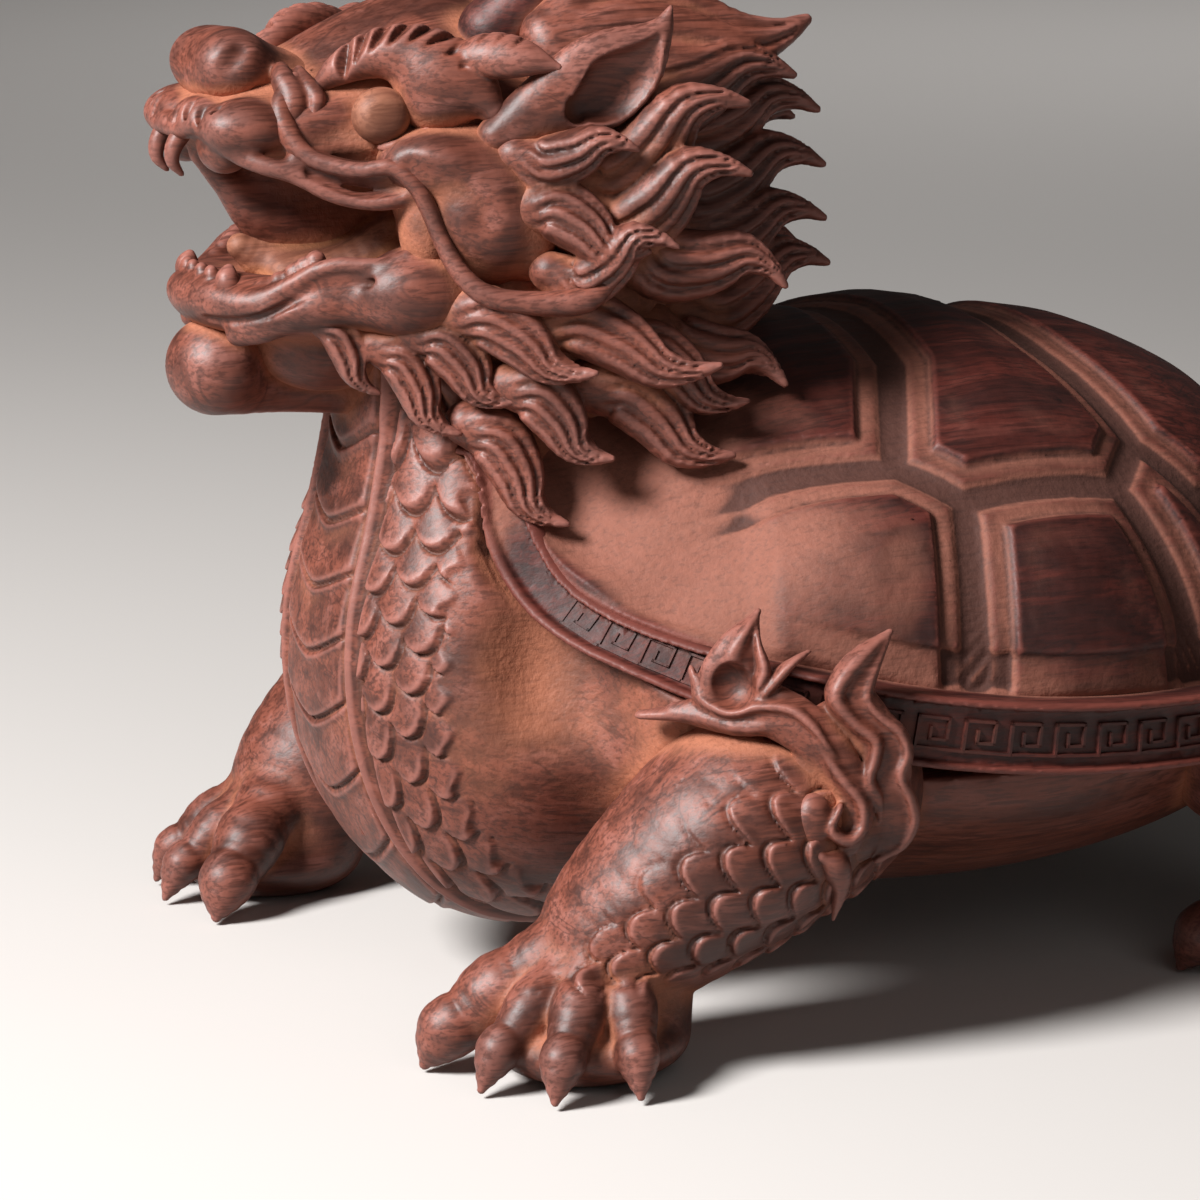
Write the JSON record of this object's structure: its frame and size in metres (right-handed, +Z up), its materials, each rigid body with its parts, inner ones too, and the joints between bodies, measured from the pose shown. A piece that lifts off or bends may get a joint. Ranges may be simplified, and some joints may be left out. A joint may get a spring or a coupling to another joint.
{
  "type": "dragon turtle figurine",
  "caption": "Carved rosewood dragon turtle ornament with a domed scute shell, fret rim, scaled legs and an open-mouthed maned head, built from glued blocks.",
  "frame": {"origin": "on the floor under the middle of the figure's bounding box", "axes": "+Z up, -Y the way the turtle faces, +X its left side"},
  "size_m": [0.0982, 0.152, 0.1105],
  "materials": {
    "polished": "oiled and polished rosewood",
    "carved": "oiled carved rosewood",
    "bare": "bare tooled rosewood",
    "dowel": "plain turned dowel"
  },
  "bodies": {
    "root": {"neck_dowel": "dowel", "front_leg_dowel_left": "dowel", "hind_leg_dowel_left": "dowel", "front_leg_dowel_right": "dowel", "hind_leg_dowel_right": "dowel", "tail_dowel": "dowel", "carapace": "polished", "rim_band": "polished", "chest": "carved", "underbody": "carved", "tail": "carved", "skull": "carved", "nose": "carved", "eye_left": "bare", "eye_right": "bare", "brow_left": "carved", "brow_right": "carved", "cheek_left": "carved", "cheek_right": "carved", "lower_jaw": "carved", "tongue": "bare", "chin_boss": "carved", "whisker_left": "polished", "whisker_right": "polished", "upper_fang_left": "carved", "lower_fang_left": "carved", "upper_fang_right": "carved", "lower_fang_right": "carved", "horn_left": "polished", "horn_right": "polished", "ear_left": "carved", "ear_right": "carved", "mane_core": "carved", "mane_upper_left": "carved", "mane_upper_right": "carved", "mane_middle_left": "carved", "mane_middle_right": "carved", "mane_rear_left": "carved", "mane_rear_right": "carved", "beard_left": "carved", "beard_right": "carved", "neck_tuft_left": "carved", "neck_tuft_right": "carved", "mane_crown": "carved", "mane_nape": "carved", "front_leg_left": "carved", "hind_leg_left": "carved", "front_leg_right": "carved", "hind_leg_right": "carved", "shoulder_flame_left": "carved", "hip_flame_left": "carved", "shoulder_flame_right": "carved", "hip_flame_right": "carved"}
  },
  "joints": []
}
